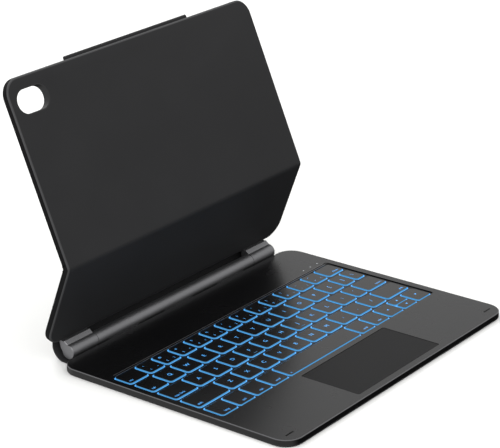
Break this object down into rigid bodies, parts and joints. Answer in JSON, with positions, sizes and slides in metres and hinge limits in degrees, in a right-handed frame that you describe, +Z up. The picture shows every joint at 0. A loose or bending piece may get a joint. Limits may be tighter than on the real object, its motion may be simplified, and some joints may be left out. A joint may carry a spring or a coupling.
{
  "type": "tablet keyboard case",
  "caption": "Folding tablet case with a thin backlit keyboard deck and trackpad, a metal hinge barrel and a creased two-part back that holds a tablet above the keys.",
  "frame": {"origin": "middle of the deck's flat underside", "axes": "+X to the right along the hinge, +Y to the rear, +Z up from the table"},
  "size_m": [0.251, 0.2303, 0.1888],
  "materials": {
    "keycap_plastic": "satin moulded ABS",
    "battery_foil": "laminated foil pouch",
    "ring_plastic": "moulded",
    "port_steel": "drawn",
    "bumper_rubber": "moulded",
    "hinge_steel": "stamped",
    "base_aluminium": "rolled",
    "deck_plastic": "fine spark texture",
    "cover_leather": "smooth coated synthetic leather",
    "barrel_metal": "satin anodised",
    "bush_plastic": "moulded",
    "lens_plastic": "clear moulded",
    "mask_film": "printed film",
    "membrane_film": "printed film",
    "light_guide": "translucent moulding lit from below",
    "stiffener_board": "glass-filled board",
    "circuit_board": "solder mask",
    "switch_plastic": "moulded",
    "dome_rubber": "moulded silicone",
    "magnet_metal": "plated",
    "trackpad_glass": "fine matt etched surface"
  },
  "bodies": {
    "deck": {"battery_left": "battery_foil", "battery_right": "battery_foil", "charging_port": "port_steel", "corner_bumpers": "bumper_rubber", "deck_base_plate": "base_aluminium", "deck_screws": "hinge_steel", "deck_top_frame": "deck_plastic", "deck_underside_skin": "cover_leather", "hinge_barrel": "barrel_metal", "hinge_deck_brackets": "hinge_steel", "hinge_friction_bushes": "bush_plastic", "indicator_lenses": "lens_plastic", "key_base_plate": "base_aluminium", "key_linkages": "bush_plastic", "key_mask_film": "mask_film", "key_membrane": "membrane_film", "light_guide_grid": "light_guide", "main_board": "circuit_board", "rubber_domes": "dome_rubber", "spine_skin": "cover_leather", "trackpad_board": "circuit_board"},
    "lower_back": {"lower_back_outer_skin": "cover_leather", "lower_back_stiffener": "stiffener_board", "lower_back_inner_skin": "cover_leather", "hinge_knuckle_left": "barrel_metal", "hinge_knuckle_right": "barrel_metal", "hinge_friction_shafts": "hinge_steel", "crease_hinge_lower_leaves": "hinge_steel", "crease_hinge_pins": "hinge_steel"},
    "upper_back": {"upper_back_outer_skin": "cover_leather", "upper_back_stiffener": "stiffener_board", "upper_back_inner_skin": "cover_leather", "camera_ring": "ring_plastic", "tablet_magnets": "magnet_metal", "crease_hinge_upper_leaves": "hinge_steel"},
    "stylus_flap_body": {"stylus_flap": "cover_leather", "stylus_flap_magnet": "hinge_steel"},
    "key_caps_lock_body": {"key_caps_lock": "keycap_plastic"},
    "key_delete_body": {"key_delete": "keycap_plastic"},
    "key_down_arrow_body": {"key_down_arrow": "keycap_plastic"},
    "key_escape_body": {"key_escape": "keycap_plastic"},
    "key_left_arrow_body": {"key_left_arrow": "keycap_plastic"},
    "key_left_shift_body": {"key_left_shift": "keycap_plastic"},
    "key_return_body": {"key_return": "keycap_plastic"},
    "key_right_arrow_body": {"key_right_arrow": "keycap_plastic"},
    "key_right_shift_body": {"key_right_shift": "keycap_plastic"},
    "key_space_body": {"key_space": "keycap_plastic"},
    "key_tab_body": {"key_tab": "keycap_plastic"},
    "key_up_arrow_body": {"key_up_arrow": "keycap_plastic"},
    "keys_home_row_body": {"keys_home_row": "keycap_plastic"},
    "keys_left_modifiers_body": {"keys_left_modifiers": "keycap_plastic"},
    "keys_lower_letter_row_body": {"keys_lower_letter_row": "keycap_plastic"},
    "keys_number_row_body": {"keys_number_row": "keycap_plastic"},
    "keys_right_modifiers_body": {"keys_right_modifiers": "keycap_plastic"},
    "keys_upper_letter_row_body": {"keys_upper_letter_row": "keycap_plastic"},
    "trackpad_body": {"trackpad_pad": "trackpad_glass"},
    "power_switch_body": {"power_switch": "switch_plastic"}
  },
  "joints": [
    {"name": "barrel_hinge", "type": "hinge", "parent": "deck", "child": "lower_back", "pos_m": [0, 0.09815, 0.00653], "axis": [1, 0, 0], "range_deg": [0, 69.5], "deforming": ["spine_skin"]},
    {"name": "crease_hinge", "type": "hinge", "parent": "lower_back", "child": "upper_back", "pos_m": [0, 0.08319, 0.07339], "axis": [1, 0, 0], "range_deg": [-16.5, 44]},
    {"name": "stylus_flap_fold", "type": "hinge", "parent": "upper_back", "child": "stylus_flap_body", "pos_m": [0, 0.1369, 0.18765], "axis": [1, 0, 0], "range_deg": [0, 270]},
    {"name": "trackpad_click", "type": "slide", "parent": "deck", "child": "trackpad_body", "axis": [0, 0, -1], "range_m": [0, 0.0004], "stiffness_N_per_m": 2500},
    {"name": "power_switch_slide", "type": "slide", "parent": "deck", "child": "power_switch_body", "axis": [0, 1, 0], "range_m": [0, 0.002]},
    {"name": "caps_lock_press", "type": "slide", "parent": "deck", "child": "key_caps_lock_body", "axis": [0, 0, -1], "range_m": [0, 0.001], "stiffness_N_per_m": 500},
    {"name": "delete_press", "type": "slide", "parent": "deck", "child": "key_delete_body", "axis": [0, 0, -1], "range_m": [0, 0.001], "stiffness_N_per_m": 500},
    {"name": "down_arrow_press", "type": "slide", "parent": "deck", "child": "key_down_arrow_body", "axis": [0, 0, -1], "range_m": [0, 0.001], "stiffness_N_per_m": 500},
    {"name": "escape_press", "type": "slide", "parent": "deck", "child": "key_escape_body", "axis": [0, 0, -1], "range_m": [0, 0.001], "stiffness_N_per_m": 500},
    {"name": "left_arrow_press", "type": "slide", "parent": "deck", "child": "key_left_arrow_body", "axis": [0, 0, -1], "range_m": [0, 0.001], "stiffness_N_per_m": 500},
    {"name": "left_shift_press", "type": "slide", "parent": "deck", "child": "key_left_shift_body", "axis": [0, 0, -1], "range_m": [0, 0.001], "stiffness_N_per_m": 500},
    {"name": "return_press", "type": "slide", "parent": "deck", "child": "key_return_body", "axis": [0, 0, -1], "range_m": [0, 0.001], "stiffness_N_per_m": 500},
    {"name": "right_arrow_press", "type": "slide", "parent": "deck", "child": "key_right_arrow_body", "axis": [0, 0, -1], "range_m": [0, 0.001], "stiffness_N_per_m": 500},
    {"name": "right_shift_press", "type": "slide", "parent": "deck", "child": "key_right_shift_body", "axis": [0, 0, -1], "range_m": [0, 0.001], "stiffness_N_per_m": 500},
    {"name": "space_press", "type": "slide", "parent": "deck", "child": "key_space_body", "axis": [0, 0, -1], "range_m": [0, 0.001], "stiffness_N_per_m": 500},
    {"name": "tab_press", "type": "slide", "parent": "deck", "child": "key_tab_body", "axis": [0, 0, -1], "range_m": [0, 0.001], "stiffness_N_per_m": 500},
    {"name": "up_arrow_press", "type": "slide", "parent": "deck", "child": "key_up_arrow_body", "axis": [0, 0, -1], "range_m": [0, 0.001], "stiffness_N_per_m": 500},
    {"name": "home_row_press", "type": "slide", "parent": "deck", "child": "keys_home_row_body", "axis": [0, 0, -1], "range_m": [0, 0.001], "stiffness_N_per_m": 5500},
    {"name": "left_modifiers_press", "type": "slide", "parent": "deck", "child": "keys_left_modifiers_body", "axis": [0, 0, -1], "range_m": [0, 0.001], "stiffness_N_per_m": 2000},
    {"name": "lower_letter_row_press", "type": "slide", "parent": "deck", "child": "keys_lower_letter_row_body", "axis": [0, 0, -1], "range_m": [0, 0.001], "stiffness_N_per_m": 5000},
    {"name": "number_row_press", "type": "slide", "parent": "deck", "child": "keys_number_row_body", "axis": [0, 0, -1], "range_m": [0, 0.001], "stiffness_N_per_m": 6000},
    {"name": "right_modifiers_press", "type": "slide", "parent": "deck", "child": "keys_right_modifiers_body", "axis": [0, 0, -1], "range_m": [0, 0.001], "stiffness_N_per_m": 1000},
    {"name": "upper_letter_row_press", "type": "slide", "parent": "deck", "child": "keys_upper_letter_row_body", "axis": [0, 0, -1], "range_m": [0, 0.001], "stiffness_N_per_m": 6500}
  ]
}
